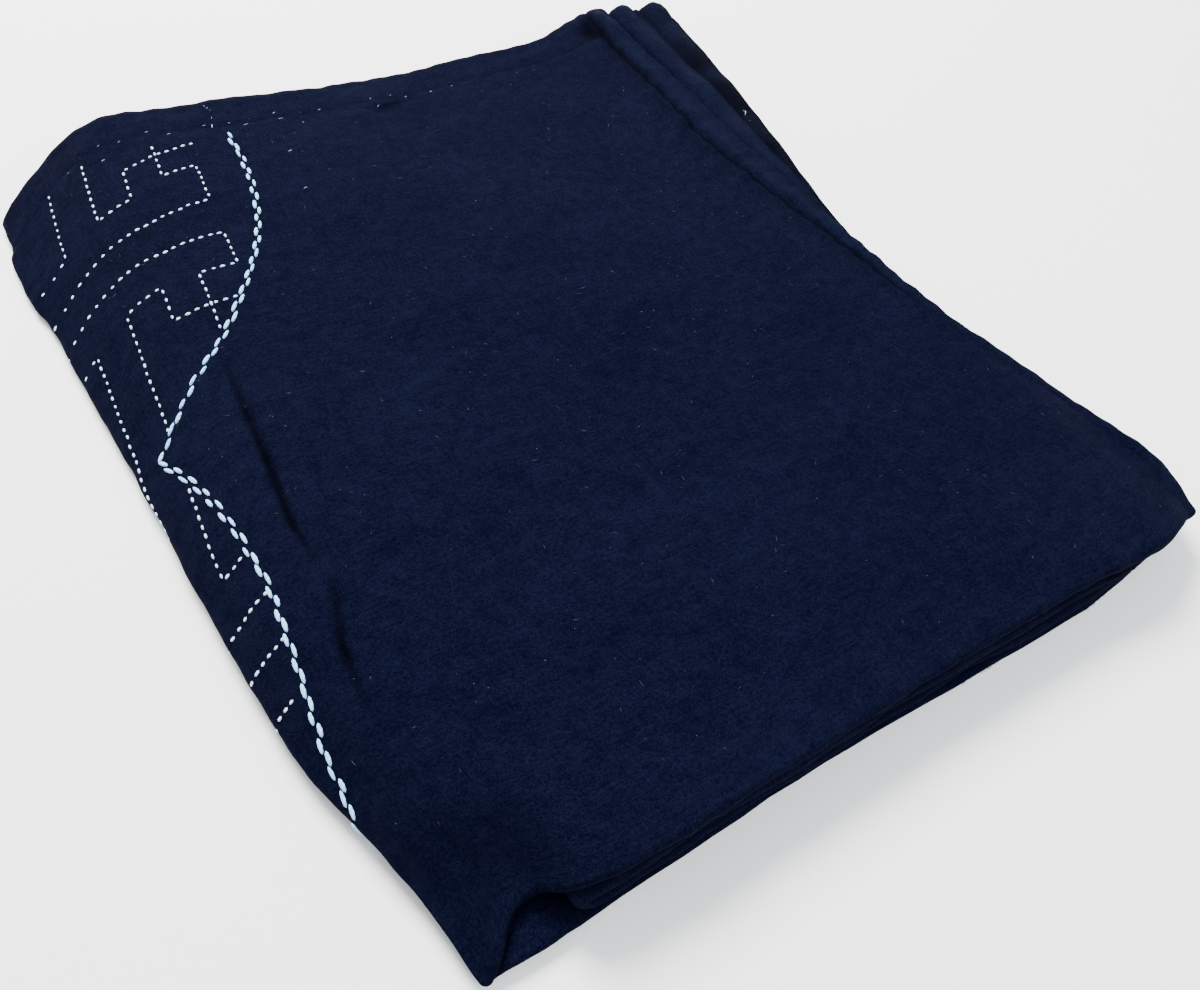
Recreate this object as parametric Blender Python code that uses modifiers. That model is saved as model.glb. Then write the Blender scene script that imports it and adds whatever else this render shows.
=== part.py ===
"""A large stitched cotton cloth, folded in half one way and into four panels the other way: eight layers.

Metres, +Z up. The pile lies on its flat underside: +X runs to the side where the hemmed ends lie, -X to
the side of the big last fold, +Y to the back, where the hems lie, and -Y to the folded front.
The cloth is one sheet. A cut across runs along the fold line of the four panels, in the XZ plane, and a
cut along runs along the fold line of the double layer, in Y and outwards from the panel's middle. Each
crossing of two cuts is a point of the sheet, and formulas carry it to its place in the pile.
"""

import math

import bmesh
import bpy
import numpy as np

# Driving sizes of the pile and of its cloth
WIDTH = 0.355
DEPTH = 0.426
SHEET = 0.0014
HEM_SHEET = 0.0020
PITCH = 0.0037
BACK_HEM = 0.021
SIDE_HEM = 0.013
SEAM = 0.0015

# Where the middle of the straight pile lies from the middle of the real, uneven one
PILE_X = -0.0174
PILE_Y = -0.0077

# Levels of the four panels, each a double layer, and the radii of their turns
PANEL = 2 * PITCH
LEVEL_BOTTOM = SHEET / 2 + PITCH / 2
LEVEL_THIRD = LEVEL_BOTTOM + PANEL
LEVEL_SECOND = LEVEL_THIRD + PANEL
LEVEL_TOP = LEVEL_SECOND + PANEL
TURN = PITCH
HEIGHT = LEVEL_TOP + PITCH / 2 + SHEET / 2

# Places of the turns across the pile. The big fold comes down over a soft shoulder to a nose on the surface
SLOPE = math.radians(28)
SHOULDER_RADIUS = 0.045
NOSE_X = -WIDTH / 2 + TURN + PITCH / 2 + SHEET / 2
SLOPE_DROP = LEVEL_TOP - LEVEL_BOTTOM - TURN * (1 + math.cos(SLOPE)) - SHOULDER_RADIUS * (1 - math.cos(SLOPE))
SLOPE_RUN = SLOPE_DROP / math.tan(SLOPE)
SHOULDER_X = NOSE_X + (SHOULDER_RADIUS - TURN) * math.sin(SLOPE) + SLOPE_RUN
INNER_TURN_X = SHOULDER_X - 0.010
TURN_X = WIDTH / 2 - TURN - PITCH / 2 - SHEET / 2

# Places of the turn and the hems along the pile
FRONT_Y = -DEPTH / 2 + PITCH / 2 + SHEET / 2
BACK_Y = DEPTH / 2

# Where the left side lies, as shifts to +X of the straight pile's, low at the nose and high at the shoulder
LEFT_COLUMNS = ("y", "low", "high")
LEFT_SHIFTS = (
    (-0.215, 0.0240, 0.0100),
    (-0.180, 0.0195, 0.0060),
    (-0.155, 0.0130, 0.0020),
    (-0.130, 0.0060, -0.0040),
    (-0.065, -0.0005, -0.0060),
    (0.015, -0.0040, -0.0030),
    (0.115, -0.0080, 0.0000),
    (0.190, -0.0100, 0.0040),
    (0.225, -0.0080, 0.0060),
)

# Where the right side lies, as shifts to +X: the top panel's two layers, the second panel's and the turn
RIGHT_COLUMNS = ("y", "top_outer", "top_inner", "second_inner", "second_outer", "turn")
RIGHT_SHIFTS = (
    (-0.216, 0.031, 0.029, 0.004, 0.002, -0.006),
    (-0.190, 0.040, 0.038, 0.007, 0.004, -0.005),
    (-0.160, 0.036, 0.034, 0.007, 0.004, -0.004),
    (-0.120, 0.022, 0.020, 0.005, 0.002, -0.003),
    (-0.080, 0.008, 0.006, 0.002, -0.001, -0.001),
    (-0.020, 0.001, 0.003, 0.006, 0.002, 0.002),
    (0.020, 0.000, 0.006, 0.013, 0.009, 0.005),
    (0.080, -0.003, 0.012, 0.025, 0.020, 0.010),
    (0.140, -0.004, 0.016, 0.036, 0.032, 0.018),
    (0.220, -0.004, 0.018, 0.044, 0.041, 0.029),
)

# Where the back and the front lie, as shifts to +Y. Of the back's, "lower" is how much further in the
# lower panels stop, and of the front's, "low" is for the bottom layer and "high" for the top one
BACK_COLUMNS = ("x", "top", "lower")
BACK_SHIFTS = (
    (-0.210, -0.012, 0.004),
    (-0.185, 0.008, 0.006),
    (-0.150, 0.020, 0.006),
    (-0.100, 0.014, 0.003),
    (-0.020, 0.004, 0.000),
    (0.056, 0.003, 0.000),
    (0.112, 0.004, -0.001),
    (0.137, 0.012, 0.002),
    (0.152, 0.014, 0.004),
    (0.200, 0.018, 0.004),
)
FRONT_COLUMNS = ("x", "low", "high")
FRONT_SHIFTS = (
    (-0.180, 0.000, 0.006),
    (-0.130, -0.001, 0.002),
    (-0.060, 0.000, 0.001),
    (0.060, -0.003, 0.000),
    (0.120, -0.005, -0.002),
    (0.160, -0.002, -0.003),
    (0.185, 0.000, 0.001),
)

# Heights, as shares of the pile's: the soft rise of its middle, and the falls to the left and the back
PILLOW = 0.06
LEFT_FALL_START = -0.105
LEFT_FALL_COLUMNS = ("y", "fall")
LEFT_FALL = (
    (-0.200, 0.10),
    (-0.050, 0.16),
    (0.080, 0.24),
    (0.220, 0.34),
)
BACK_FALL = 0.14
BACK_FALL_START = 0.140
BACK_FALL_MIDDLE = 0.030
BACK_FALL_REACH = 0.130

# Broad troughs in the top. Columns: x and y of the two ends, half width, depth as a share of the height
TROUGHS = (
    (-0.147, 0.055, -0.152, -0.100, 0.022, 0.07),
    (-0.152, -0.060, -0.168, -0.130, 0.018, 0.05),
    (-0.020, -0.050, 0.090, -0.070, 0.030, 0.04),
    (0.090, 0.150, 0.110, -0.020, 0.035, 0.04),
)

# The free corner of the top panel hangs a little where nothing lies below it
DROOP = 0.007
DROOP_START_X = 0.150
DROOP_REACH = 0.040
DROOP_BACK_Y = -0.050
DROOP_FRONT_Y = -0.140

COTTON = (0.006, 0.011, 0.036, 1.0)
COTTON_ROUGHNESS = 0.9


def smooth_step(value):
    """0 below 0 and 1 above 1, with a soft rise between."""
    clipped = min(max(value, 0.0), 1.0)
    return clipped * clipped * (3 - 2 * clipped)


def table_value(rows, columns, name, at):
    """A soft curve through a named column of a table, level beyond its ends. Column one is the place."""
    table = np.array(rows)
    places = table[:, 0]
    values = table[:, columns.index(name)]
    slopes = np.gradient(values, places)
    slopes[0] = slopes[-1] = 0.0
    at = min(max(at, places[0]), places[-1])
    low = min(max(int(np.searchsorted(places, at)) - 1, 0), len(places) - 2)
    step = places[low + 1] - places[low]
    share = (at - places[low]) / step
    square, cube = share**2, share**3
    return float(
        (2 * cube - 3 * square + 1) * values[low]
        + (cube - 2 * square + share) * step * slopes[low]
        + (3 * square - 2 * cube) * values[low + 1]
        + (cube - square) * step * slopes[low + 1]
    )


def line(name, start, end, cuts):
    """A straight stretch of a fold line."""
    return {"name": name, "kind": "line", "start": np.array(start), "end": np.array(end), "cuts": cuts}


def turn(name, centre, radius, start, end, cuts):
    """A turn of a fold line from one heading to another, in radians. A falling heading turns to the right."""
    stretch = {"name": name, "kind": "turn", "centre": np.array(centre), "radius": radius}
    return {**stretch, "start": start, "end": end, "side": 1 if end > start else -1, "cuts": cuts}


def on_turn(centre, radius, heading, side=1):
    """The point of a turn at a heading. Side is 1 where it turns to the left, and -1 to the right."""
    return np.array(centre) + side * radius * np.array((math.sin(heading), -math.cos(heading)))


def on_stretch(stretch, share):
    """The point at a share of a stretch, and the heading there."""
    if stretch["kind"] == "line":
        reach = stretch["end"] - stretch["start"]
        return stretch["start"] + share * reach, math.atan2(reach[1], reach[0])
    heading = stretch["start"] + share * (stretch["end"] - stretch["start"])
    return on_turn(stretch["centre"], stretch["radius"], heading, stretch["side"]), heading


def across_stretches():
    """The fold line of the panels in the XZ plane, from the top panel's free end to the inner one's."""
    left, right = math.pi, 2 * math.pi
    end_x, hem_x = WIDTH / 2, WIDTH / 2 - SIDE_HEM
    down = left + SLOPE
    over_centre = (SHOULDER_X, LEVEL_TOP - SHOULDER_RADIUS)
    nose_centre = (NOSE_X, LEVEL_BOTTOM + TURN)
    slope_top = on_turn(over_centre, SHOULDER_RADIUS, down)
    slope_foot = on_turn(nose_centre, TURN, down)
    return (
        line("top", (end_x, LEVEL_TOP), (hem_x, LEVEL_TOP), 1),
        line("top", (hem_x, LEVEL_TOP), (hem_x - SEAM, LEVEL_TOP), 1),
        line("top", (hem_x - SEAM, LEVEL_TOP), (SHOULDER_X, LEVEL_TOP), 13),
        turn("over", over_centre, SHOULDER_RADIUS, left, down, 4),
        line("over", slope_top, slope_foot, 2),
        turn("nose", nose_centre, TURN, down, right, 5),
        line("bottom", (NOSE_X, LEVEL_BOTTOM), (TURN_X, LEVEL_BOTTOM), 8),
        turn("turn", (TURN_X, LEVEL_BOTTOM + TURN), TURN, right, right + math.pi, 6),
        line("third", (TURN_X, LEVEL_THIRD), (INNER_TURN_X, LEVEL_THIRD), 7),
        turn("inner turn", (INNER_TURN_X, LEVEL_THIRD + TURN), TURN, left, 0.0, 6),
        line("second", (INNER_TURN_X, LEVEL_SECOND), (hem_x - SEAM, LEVEL_SECOND), 8),
        line("second", (hem_x - SEAM, LEVEL_SECOND), (hem_x, LEVEL_SECOND), 1),
        line("second", (hem_x, LEVEL_SECOND), (end_x, LEVEL_SECOND), 1),
    )


def along_stretches():
    """The fold line of the double layer: Y, and the distance outwards from the panel's middle."""
    out, left, right = PITCH / 2, math.pi, 2 * math.pi
    hem_y = BACK_Y - BACK_HEM
    return (
        line("hem", (BACK_Y, out), (hem_y, out), 1),
        line("seam", (hem_y, out), (hem_y - SEAM, out), 1),
        line("outer layer", (hem_y - SEAM, out), (FRONT_Y, out), 13),
        turn("front turn", (FRONT_Y, 0.0), out, left, right, 6),
        line("inner layer", (FRONT_Y, -out), (hem_y - SEAM, -out), 12),
        line("seam", (hem_y - SEAM, -out), (hem_y, -out), 1),
        line("hem", (hem_y, -out), (BACK_Y, -out), 1),
    )


def cut_line(stretches):
    """Every cut of a fold line in turn: its point, heading and stretch."""
    cuts = []
    for stretch in stretches:
        for number in range(1 if cuts else 0, stretch["cuts"] + 1):
            point, heading = on_stretch(stretch, number / stretch["cuts"])
            cuts.append({"point": point, "heading": heading, "name": stretch["name"]})
    return cuts


def pile_point(across, along):
    """Carries the crossing of a cut across and a cut along to its place in the real pile."""
    x, level = across["point"]
    y, outwards = along["point"]
    x = x + outwards * math.sin(across["heading"])
    z = level - outwards * math.cos(across["heading"])
    outer_share = outwards / PITCH + 0.5
    return uneven_point(x, y, z, across["name"], outer_share)


def uneven_point(x, y, z, panel, outer_share):
    """Moves a point of the straight pile to where the softly folded one has it."""
    up = (z - SHEET / 2) / (HEIGHT - SHEET)
    end_share = min(max((x - SHOULDER_X) / (WIDTH / 2 - SHOULDER_X), 0.0), 1.0)
    sideways = end_share * right_shift(y, panel, outer_share) + (1 - end_share) * left_shift(y, up)
    moved_x = x + PILE_X + sideways
    back_share = (y - FRONT_Y) / (BACK_Y - FRONT_Y)
    lengthways = back_share * back_shift(moved_x, up) + (1 - back_share) * front_shift(moved_x, up)
    moved_y = y + PILE_Y + lengthways
    height = height_share(moved_x, moved_y)
    droop = corner_droop(moved_x, moved_y) if panel == "top" else 0.0
    return moved_x, moved_y, SHEET / 2 + (z - SHEET / 2) * height - droop


def left_shift(y, up):
    low = table_value(LEFT_SHIFTS, LEFT_COLUMNS, "low", y)
    high = table_value(LEFT_SHIFTS, LEFT_COLUMNS, "high", y)
    return low + (high - low) * smooth_step(up)


def right_shift(y, panel, outer_share):
    if panel in ("top", "second"):
        inner = table_value(RIGHT_SHIFTS, RIGHT_COLUMNS, panel + "_inner", y)
        outer = table_value(RIGHT_SHIFTS, RIGHT_COLUMNS, panel + "_outer", y)
        return inner + (outer - inner) * smooth_step(outer_share)
    return table_value(RIGHT_SHIFTS, RIGHT_COLUMNS, "turn", y)


def back_shift(x, up):
    top = table_value(BACK_SHIFTS, BACK_COLUMNS, "top", x)
    return top - table_value(BACK_SHIFTS, BACK_COLUMNS, "lower", x) * (1 - smooth_step(up))


def front_shift(x, up):
    low = table_value(FRONT_SHIFTS, FRONT_COLUMNS, "low", x)
    high = table_value(FRONT_SHIFTS, FRONT_COLUMNS, "high", x)
    return low + (high - low) * smooth_step(up)


def height_share(x, y):
    """How high the pile lies at a place, as a share of its straight height."""
    pillow = PILLOW * math.cos(math.pi * x / WIDTH * 0.9) * math.cos(math.pi * y / DEPTH * 0.9)
    fall_share = min(max((LEFT_FALL_START - x) / (LEFT_FALL_START + WIDTH / 2 - PILE_X), 0.0), 1.0)
    left_fall = table_value(LEFT_FALL, LEFT_FALL_COLUMNS, "fall", y) * fall_share**2
    from_middle = abs(x - BACK_FALL_MIDDLE) / BACK_FALL_REACH
    back_fall = BACK_FALL * smooth_step((y - BACK_FALL_START) / (BACK_Y - BACK_FALL_START))
    back_fall *= 1 - smooth_step(from_middle)
    return 1 + pillow - left_fall - back_fall - sum(trough_depth(row, x, y) for row in TROUGHS)


def trough_depth(row, x, y):
    """The depth of one soft trough at a place."""
    start_x, start_y, end_x, end_y, half_width, depth = row
    run_x, run_y = end_x - start_x, end_y - start_y
    share = ((x - start_x) * run_x + (y - start_y) * run_y) / (run_x**2 + run_y**2)
    share = min(max(share, 0.0), 1.0)
    away = math.hypot(x - start_x - share * run_x, y - start_y - share * run_y)
    return depth * (1 - smooth_step(away / (2 * half_width)))


def corner_droop(x, y):
    beyond = min(max((x - DROOP_START_X) / DROOP_REACH, 0.0), 1.0)
    return DROOP * beyond**2 * smooth_step((DROOP_BACK_Y - y) / (DROOP_BACK_Y - DROOP_FRONT_Y))


def is_hemmed(number, count):
    """Whether a cut bounds a hem: the first two and the last two of a fold line do."""
    return min(number, count - 1 - number) <= 1


def folded_sheet():
    """The cloth's middle surface, a grid laid into the folds, and the thickness share of each vertex."""
    across = cut_line(across_stretches())
    along = cut_line(along_stretches())
    grid = bmesh.new()
    bmesh.ops.create_grid(grid, x_segments=len(across) - 1, y_segments=len(along) - 1, size=0.5)
    shares = []
    for vertex in grid.verts:
        column = round((vertex.co.x + 0.5) * (len(across) - 1))
        row = round((vertex.co.y + 0.5) * (len(along) - 1))
        hemmed = is_hemmed(column, len(across)) or is_hemmed(row, len(along))
        half = (HEM_SHEET if hemmed else SHEET) / 2
        x, y, z = pile_point(across[column], along[row])
        vertex.co = (x, y, max(z, half))
        shares.append(2 * half / HEM_SHEET)
    mesh = bpy.data.meshes.new("folded_cloth")
    grid.to_mesh(mesh)
    grid.free()
    return mesh, shares


def cotton():
    """Plain indigo cotton for the solid."""
    material = bpy.data.materials.new("indigo_cotton")
    material.use_nodes = True
    surface = material.node_tree.nodes["Principled BSDF"]
    surface.inputs["Base Color"].default_value = COTTON
    surface.inputs["Roughness"].default_value = COTTON_ROUGHNESS
    return material


def make_cloth(collection):
    """The folded cloth as one closed solid."""
    mesh, shares = folded_sheet()
    mesh.materials.append(cotton())
    mesh.shade_smooth()
    cloth = bpy.data.objects.new("folded_cloth", mesh)
    collection.objects.link(cloth)
    group = cloth.vertex_groups.new(name="thickness")
    for index, share in enumerate(shares):
        group.add([index], share, "REPLACE")
    thicken = cloth.modifiers.new("thickness", "SOLIDIFY")
    thicken.thickness = HEM_SHEET
    thicken.offset = 0.0
    thicken.use_even_offset = True
    thicken.vertex_group = group.name
    return cloth


def main():
    for obj in list(bpy.data.objects):
        bpy.data.objects.remove(obj)
    collection = bpy.data.collections.new("folded_stitched_cloth")
    bpy.context.scene.collection.children.link(collection)
    make_cloth(collection)


main()
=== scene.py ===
"""A large indigo cotton cloth with hand stitching, folded in half one way and into four panels the other way.

Metres, +Z up, in the frame's own place. The sheet is one cloth: a distance across it follows the fold line of
the four panels, and a distance along it follows the fold line of the double layer. Creases, hems and stitches
are placed on the flat cloth, and the folds carry them to their places.
"""
import math
from functools import partial

import bpy
import numpy as np
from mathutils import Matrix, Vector


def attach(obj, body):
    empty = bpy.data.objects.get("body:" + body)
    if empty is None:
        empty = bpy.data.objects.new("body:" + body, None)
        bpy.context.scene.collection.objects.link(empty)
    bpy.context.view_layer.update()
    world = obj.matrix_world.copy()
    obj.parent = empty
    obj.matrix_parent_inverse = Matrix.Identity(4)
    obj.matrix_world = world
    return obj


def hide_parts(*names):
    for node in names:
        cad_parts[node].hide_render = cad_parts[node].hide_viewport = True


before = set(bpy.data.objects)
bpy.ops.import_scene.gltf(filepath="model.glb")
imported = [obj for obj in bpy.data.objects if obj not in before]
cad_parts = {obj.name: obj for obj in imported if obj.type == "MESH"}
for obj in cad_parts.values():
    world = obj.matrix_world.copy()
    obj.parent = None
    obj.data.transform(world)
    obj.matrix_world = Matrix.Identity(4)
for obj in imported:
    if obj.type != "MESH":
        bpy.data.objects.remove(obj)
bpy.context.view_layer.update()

# Sizes of the pile and its cloth, the same as the solid's
WIDTH = 0.355
DEPTH = 0.426
SHEET = 0.0014
PITCH = 0.0037
BACK_HEM = 0.021
SIDE_HEM = 0.013
PILE_X = -0.0174
PILE_Y = -0.0077
PANEL = 2 * PITCH
LEVEL_BOTTOM = SHEET / 2 + PITCH / 2
LEVEL_THIRD = LEVEL_BOTTOM + PANEL
LEVEL_SECOND = LEVEL_THIRD + PANEL
LEVEL_TOP = LEVEL_SECOND + PANEL
TURN = PITCH
HEIGHT = LEVEL_TOP + PITCH / 2 + SHEET / 2
SLOPE = math.radians(28)
SHOULDER_RADIUS = 0.045
NOSE_X = -WIDTH / 2 + TURN + PITCH / 2 + SHEET / 2
SLOPE_DROP = LEVEL_TOP - LEVEL_BOTTOM - TURN * (1 + math.cos(SLOPE))
SLOPE_DROP -= SHOULDER_RADIUS * (1 - math.cos(SLOPE))
SHOULDER_X = NOSE_X + (SHOULDER_RADIUS - TURN) * math.sin(SLOPE) + SLOPE_DROP / math.tan(SLOPE)
INNER_TURN_X = SHOULDER_X - 0.010
TURN_X = WIDTH / 2 - TURN - PITCH / 2 - SHEET / 2
FRONT_Y = -DEPTH / 2 + PITCH / 2 + SHEET / 2
BACK_Y = DEPTH / 2

# Thickness of the woven cloth itself and of its rolled hems at their fullest
CLOTH_THICK = 0.0011
SIDE_HEM_THICK = 0.0026
BACK_HEM_THICK = 0.0017

# Uneven sides of the pile, as shifts of the straight one's
LEFT_COLUMNS = ("y", "low", "high")
LEFT_SHIFTS = (
    (-0.215, 0.0240, 0.0100),
    (-0.180, 0.0195, 0.0060),
    (-0.155, 0.0130, 0.0020),
    (-0.130, 0.0060, -0.0040),
    (-0.065, -0.0005, -0.0060),
    (0.015, -0.0040, -0.0030),
    (0.115, -0.0080, 0.0000),
    (0.190, -0.0100, 0.0040),
    (0.225, -0.0080, 0.0060),
)
RIGHT_COLUMNS = ("y", "top_outer", "top_inner", "second_inner", "second_outer", "turn")
RIGHT_SHIFTS = (
    (-0.216, 0.031, 0.029, 0.004, 0.002, -0.006),
    (-0.190, 0.040, 0.038, 0.007, 0.004, -0.005),
    (-0.160, 0.036, 0.034, 0.007, 0.004, -0.004),
    (-0.120, 0.022, 0.020, 0.005, 0.002, -0.003),
    (-0.080, 0.008, 0.006, 0.002, -0.001, -0.001),
    (-0.020, 0.001, 0.003, 0.006, 0.002, 0.002),
    (0.020, 0.000, 0.006, 0.013, 0.009, 0.005),
    (0.080, -0.003, 0.012, 0.025, 0.020, 0.010),
    (0.140, -0.004, 0.016, 0.036, 0.032, 0.018),
    (0.220, -0.004, 0.018, 0.044, 0.041, 0.029),
)
BACK_COLUMNS = ("x", "top", "lower")
BACK_SHIFTS = (
    (-0.210, -0.012, 0.004),
    (-0.185, 0.008, 0.006),
    (-0.150, 0.020, 0.006),
    (-0.100, 0.014, 0.003),
    (-0.020, 0.004, 0.000),
    (0.056, 0.003, 0.000),
    (0.112, 0.004, -0.001),
    (0.137, 0.012, 0.002),
    (0.152, 0.014, 0.004),
    (0.200, 0.018, 0.004),
)
FRONT_COLUMNS = ("x", "low", "high")
FRONT_SHIFTS = (
    (-0.180, 0.000, 0.006),
    (-0.130, -0.001, 0.002),
    (-0.060, 0.000, 0.001),
    (0.060, -0.003, 0.000),
    (0.120, -0.005, -0.002),
    (0.160, -0.002, -0.003),
    (0.185, 0.000, 0.001),
)

# Soft rise of the middle, falls to the left and the back, broad troughs and the hanging corner
PILLOW = 0.06
LEFT_FALL_START = -0.105
LEFT_FALL_COLUMNS = ("y", "fall")
LEFT_FALL = (
    (-0.200, 0.10),
    (-0.050, 0.16),
    (0.080, 0.24),
    (0.220, 0.34),
)
BACK_FALL = 0.14
BACK_FALL_START = 0.140
BACK_FALL_MIDDLE = 0.030
BACK_FALL_REACH = 0.130
TROUGHS = (
    (-0.147, 0.055, -0.152, -0.100, 0.022, 0.07),
    (-0.152, -0.060, -0.168, -0.130, 0.018, 0.05),
    (-0.020, -0.050, 0.090, -0.070, 0.030, 0.04),
    (0.090, 0.150, 0.110, -0.020, 0.035, 0.04),
)
DROOP = 0.007
DROOP_START_X = 0.150
DROOP_REACH = 0.040
DROOP_BACK_Y = -0.050
DROOP_FRONT_Y = -0.140

# The front of the big fold is pinched shut, and the inner fold stops further in there
PINCH = 0.80
PINCH_INNER = 0.0046
PINCH_OUTER = 0.0068
PINCH_UNDER = 0.30
PINCH_BACK_Y = -0.165
PINCH_REACH_Y = 0.040
PINCH_LEFT_X = -0.1495
PINCH_REACH_X = 0.0200
INNER_SHIFT = 0.014
INNER_SHIFT_Y = -0.150

# Beside the pinch the top's front edge is drawn in over the rounded end of the fold below
NOTCH_COLUMNS = ("x", "shift")
NOTCH_SHIFTS = (
    (-0.195, -0.0020),
    (-0.182, -0.0035),
    (-0.170, -0.0040),
    (-0.163, -0.0005),
    (-0.155, 0.0075),
    (-0.1440, 0.0098),
    (-0.136, 0.0035),
    (-0.126, 0.0005),
    (-0.105, 0.0000),
)
NOTCH_BACK_Y = -0.176
NOTCH_REACH = 0.036
LOBE_EDGE_Y = -0.2149
LOBE_RAMP = 0.0026
LOBE_END_X = -0.1430
LOBE_END = 0.0110
LOBE_RISE = 0.0046

# Lumps of the big fold's foot on the left. Columns: y, half width, reach outwards
LEFT_LUMPS = ((0.207, 0.009, 0.0055), (0.148, 0.028, 0.0035), (0.176, 0.006, -0.0015))
LUMP_START_X = -0.165
LUMP_REACH_X = 0.020
LUMP_TOP = 0.006
LUMP_FADE = 0.008

# Creases pressed into the top. Columns: x and y of both ends on the flat cloth, half width, and the depth at
# each end, which is negative for a ridge
CREASES = (
    (-0.1285, 0.048, -0.1305, 0.011, 0.0110, 0.0002, 0.0009),
    (-0.1305, 0.011, -0.1340, -0.045, 0.0110, 0.0009, 0.0009),
    (-0.1285, 0.050, -0.1305, 0.011, 0.0034, 0.0003, 0.0020),
    (-0.1305, 0.011, -0.1315, -0.013, 0.0036, 0.0020, 0.0026),
    (-0.1315, -0.013, -0.1340, -0.045, 0.0040, 0.0026, 0.0023),
    (-0.1340, -0.045, -0.1325, -0.066, 0.0036, 0.0023, 0.0003),
    (-0.1320, -0.079, -0.1395, -0.103, 0.0044, 0.0013, 0.0022),
    (-0.1395, -0.103, -0.1430, -0.130, 0.0042, 0.0022, 0.0003),
    (-0.1460, -0.092, -0.1345, -0.086, 0.0090, 0.0004, 0.0013),
    (-0.1130, -0.064, -0.1290, -0.079, 0.0070, -0.0003, -0.0010),
    (-0.1100, -0.075, -0.1270, -0.084, 0.0075, 0.0010, 0.0006),
    (-0.1085, -0.075, -0.0770, -0.076, 0.0090, 0.0012, 0.0003),
    (-0.0200, -0.077, 0.0300, -0.080, 0.0080, -0.0005, -0.0005),
    (-0.0200, -0.090, 0.0350, -0.093, 0.0120, 0.0008, 0.0007),
    (-0.1490, -0.138, -0.1410, -0.141, 0.0080, 0.0010, 0.0010),
    (0.0060, 0.185, 0.0300, 0.190, 0.0045, 0.0017, 0.0006),
    (0.0140, 0.176, 0.0400, 0.110, 0.0160, 0.0011, 0.0003),
    (0.1600, 0.187, 0.1460, 0.143, 0.0110, 0.0014, 0.0005),
    (0.1500, 0.120, 0.1440, 0.060, 0.0110, 0.0010, 0.0010),
    (0.1580, 0.098, 0.1340, 0.088, 0.0050, 0.0010, 0.0001),
    (0.1560, 0.079, 0.1360, 0.078, 0.0045, 0.0009, 0.0001),
    (0.1620, 0.066, 0.1360, 0.060, 0.0050, 0.0010, 0.0001),
    (0.1630, 0.048, 0.1390, 0.040, 0.0050, 0.0009, 0.0001),
    (0.1640, 0.020, 0.1420, 0.010, 0.0055, 0.0007, 0.0001),
    (0.0920, -0.002, 0.0990, -0.030, 0.0080, 0.0006, 0.0004),
    (-0.1540, -0.148, -0.1500, -0.192, 0.0080, 0.0008, 0.0008),
    (-0.1180, 0.196, -0.0600, 0.188, 0.0090, 0.0006, 0.0006),
    (-0.0400, 0.186, -0.0050, 0.190, 0.0070, 0.0007, 0.0005),
)
UNDER_SHARE = 0.64
# Creases narrower than DARK_CREASE get painted shade along them, darkest at DARKEST_DEPTH
DARK_CREASE = 0.0065
DARKEST_DEPTH = 0.0022

# Hand-sewn side hem: how far in its seam lies, uneven, and the groove and puckers that the sewing draws up
SEAM_COLUMNS = ("y", "width")
SEAM_PLACES = (
    (-0.213, 0.0062),
    (-0.100, 0.0058),
    (-0.030, 0.0062),
    (-0.005, 0.0085),
    (0.025, 0.0130),
    (0.060, 0.0165),
    (0.090, 0.0182),
    (0.130, 0.0155),
    (0.170, 0.0150),
    (0.213, 0.0140),
)
SEAM_END_Y = -0.085
SEAM_FADE = 0.065
GROOVE_WIDTH = 0.0014
SIDE_GROOVE = 0.0013
SIDE_RIDGE = 0.0006
SIDE_RIDGE_WIDTH = 0.0036
BACK_GROOVE = 0.0003
PUCKER = 0.00045
PUCKER_REACH = 0.013
SIDE_PUCKER_STEP = 0.0127
BACK_PUCKER_STEP = 0.0113

# Bumps of the worn edges. Columns of the waves: step, share, turns of phase
EDGE_WOBBLE = 0.0003
EDGE_WOBBLE_REACH = 0.006
EDGE_WAVES = ((0.0021, 1.0, 1), (0.0047, 0.8, 2), (0.0118, 0.9, 3))

# The second and third edge strips beside the top one, and the steps of the lumps along a hem
STRIP_RIDGE = 0.0013
STRIP_RIDGE_WIDTH = 0.0050
OTHER_SEAM = 0.0150
EDGE_SHADE = 0.0034
STRIP_RIDGE_AT = 0.0070
STRIP_FULL_AT = 0.020
LUMP_STEP = 0.0064
LUMP_DRIFT = 0.019
FINE_LUMP_STEP = 0.0023

# Painted shade: the seam line's painted shade widens to the back, and the lowest strip is painted dark in
# front of its lit end
SEAM_DARK = 0.0010
SEAM_DARKER = 0.0012
SEAM_DARKER_Y = 0.110
LOWEST_STRIP = 0.045
LOWEST_LIT_Y = 0.150

# The bunched corner where the two hems meet. Columns: x and y on the flat cloth, half width, height
KNOTS = (
    (0.1695, 0.2035, 0.0048, 0.0034),
    (0.1610, 0.2080, 0.0042, 0.0034),
    (0.1530, 0.2070, 0.0036, 0.0018),
    (0.1715, 0.1930, 0.0040, 0.0020),
    # The last knot is a hole, which also gets painted shade
    (0.1570, 0.1980, 0.0050, -0.0030),
)

# Gentle waves over the whole cloth
WAVE_SEED = 11
WAVE_SORTS = ((18, 0.055, 0.110, 0.00012), (26, 0.020, 0.045, 0.00006), (30, 0.010, 0.018, 0.000028))

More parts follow.
